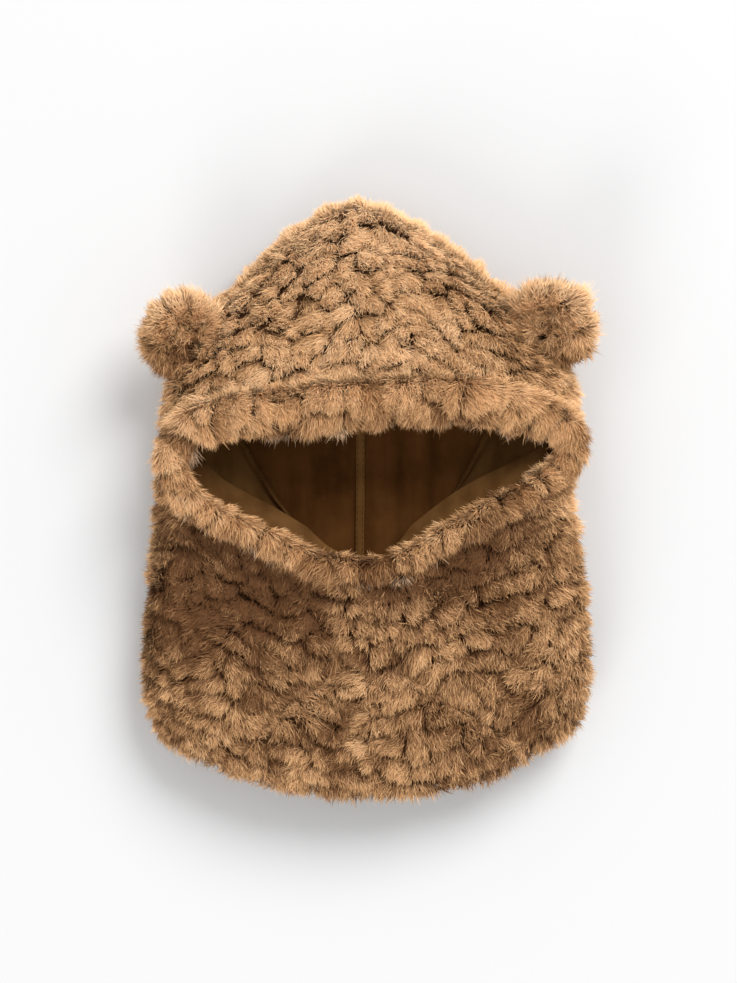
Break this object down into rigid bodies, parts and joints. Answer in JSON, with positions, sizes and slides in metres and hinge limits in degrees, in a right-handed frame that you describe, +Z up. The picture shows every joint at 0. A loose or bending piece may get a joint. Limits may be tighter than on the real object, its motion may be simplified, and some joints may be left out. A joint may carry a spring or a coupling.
{
  "type": "bear ear balaclava",
  "caption": "Child's balaclava of deep faux fur with round bear ears, a rolled fur trim round the face opening and a velour lining, lying flat on its back; covers head and neck.",
  "frame": {"origin": "middle of what the balaclava covers, on the surface it lies on", "axes": "+Y from the hem to the crown, +Z up from the surface towards the face opening, +X across to the right as seen from above"},
  "size_m": [0.2582, 0.342, 0.082],
  "materials": {
    "fur": "deep curly faux fur, light tips over dark roots",
    "trim_fur": "deep straight faux fur, light tips",
    "ear_fur": "long soft faux fur",
    "lining": "brushed dark brown velour",
    "facing": "dark brown velour edge and tape"
  },
  "bodies": {
    "root": {"hood_left": "fur", "hood_right": "fur", "cowl_left": "fur", "cowl_right": "fur", "face_trim": "trim_fur", "ear_left": "ear_fur", "ear_right": "ear_fur", "lining_left": "lining", "lining_right": "lining", "lining_side_left": "lining", "lining_side_right": "lining", "facing_left": "facing", "facing_right": "facing", "lining_seam_tape": "facing"}
  },
  "joints": []
}
